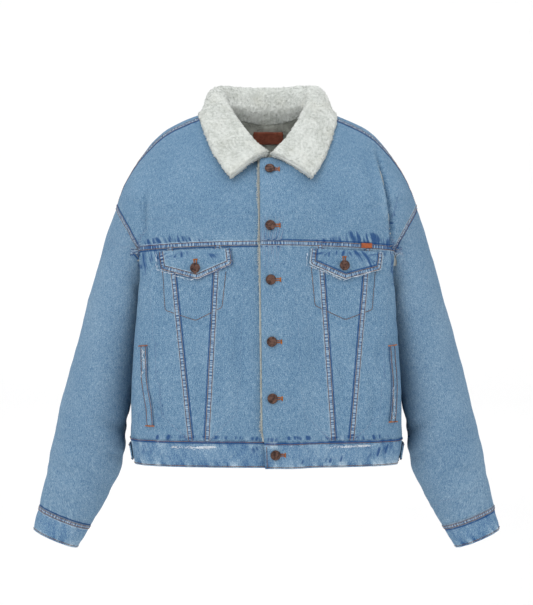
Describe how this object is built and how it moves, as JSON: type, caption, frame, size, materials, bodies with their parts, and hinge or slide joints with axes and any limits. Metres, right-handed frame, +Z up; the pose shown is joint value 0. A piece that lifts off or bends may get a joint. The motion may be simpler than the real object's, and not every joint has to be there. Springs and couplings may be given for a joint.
{
  "type": "sherpa lined jacket",
  "caption": "Boxy denim trucker jacket with a fleece collar and lining, front buttons, flap pockets, slanted side pockets, a waistband and plain cuffs, held open in its worn form.",
  "frame": {"origin": "middle of the neck opening, at the height of the shoulders' inner ends, where a wearer carries the jacket", "axes": "-Y out of the jacket's front, +X towards the wearer's left, +Z up"},
  "size_m": [0.816, 0.2929, 0.8124],
  "materials": {
    "denim": "mid-blue worn cotton twill",
    "sherpa": "off-white curly pile fleece",
    "leather": "smooth red-brown, blank",
    "copper": "dark aged copper"
  },
  "bodies": {
    "root": {"front_yoke_left": "denim", "front_yoke_right": "denim", "back_yoke": "denim", "front_center_left": "denim", "front_center_right": "denim", "front_mid_left": "denim", "front_mid_right": "denim", "front_side_left": "denim", "front_side_right": "denim", "back_center": "denim", "back_side_left": "denim", "back_side_right": "denim", "sleeve_left": "denim", "sleeve_right": "denim", "under_sleeve_left": "denim", "under_sleeve_right": "denim", "cuff_left": "denim", "cuff_right": "denim", "waistband_left": "denim", "waistband_right": "denim", "flap_left": "denim", "flap_right": "denim", "welt_left": "denim", "welt_right": "denim", "waist_tab_left": "denim", "waist_tab_right": "denim", "collar": "sherpa", "lining_back": "sherpa", "lining_left": "sherpa", "lining_right": "sherpa", "button_1": "copper", "button_2": "copper", "button_3": "copper", "button_4": "copper", "button_5": "copper", "button_6": "copper", "pocket_button_left": "copper", "pocket_button_right": "copper", "chest_tab": "leather", "neck_label": "leather"}
  },
  "joints": []
}
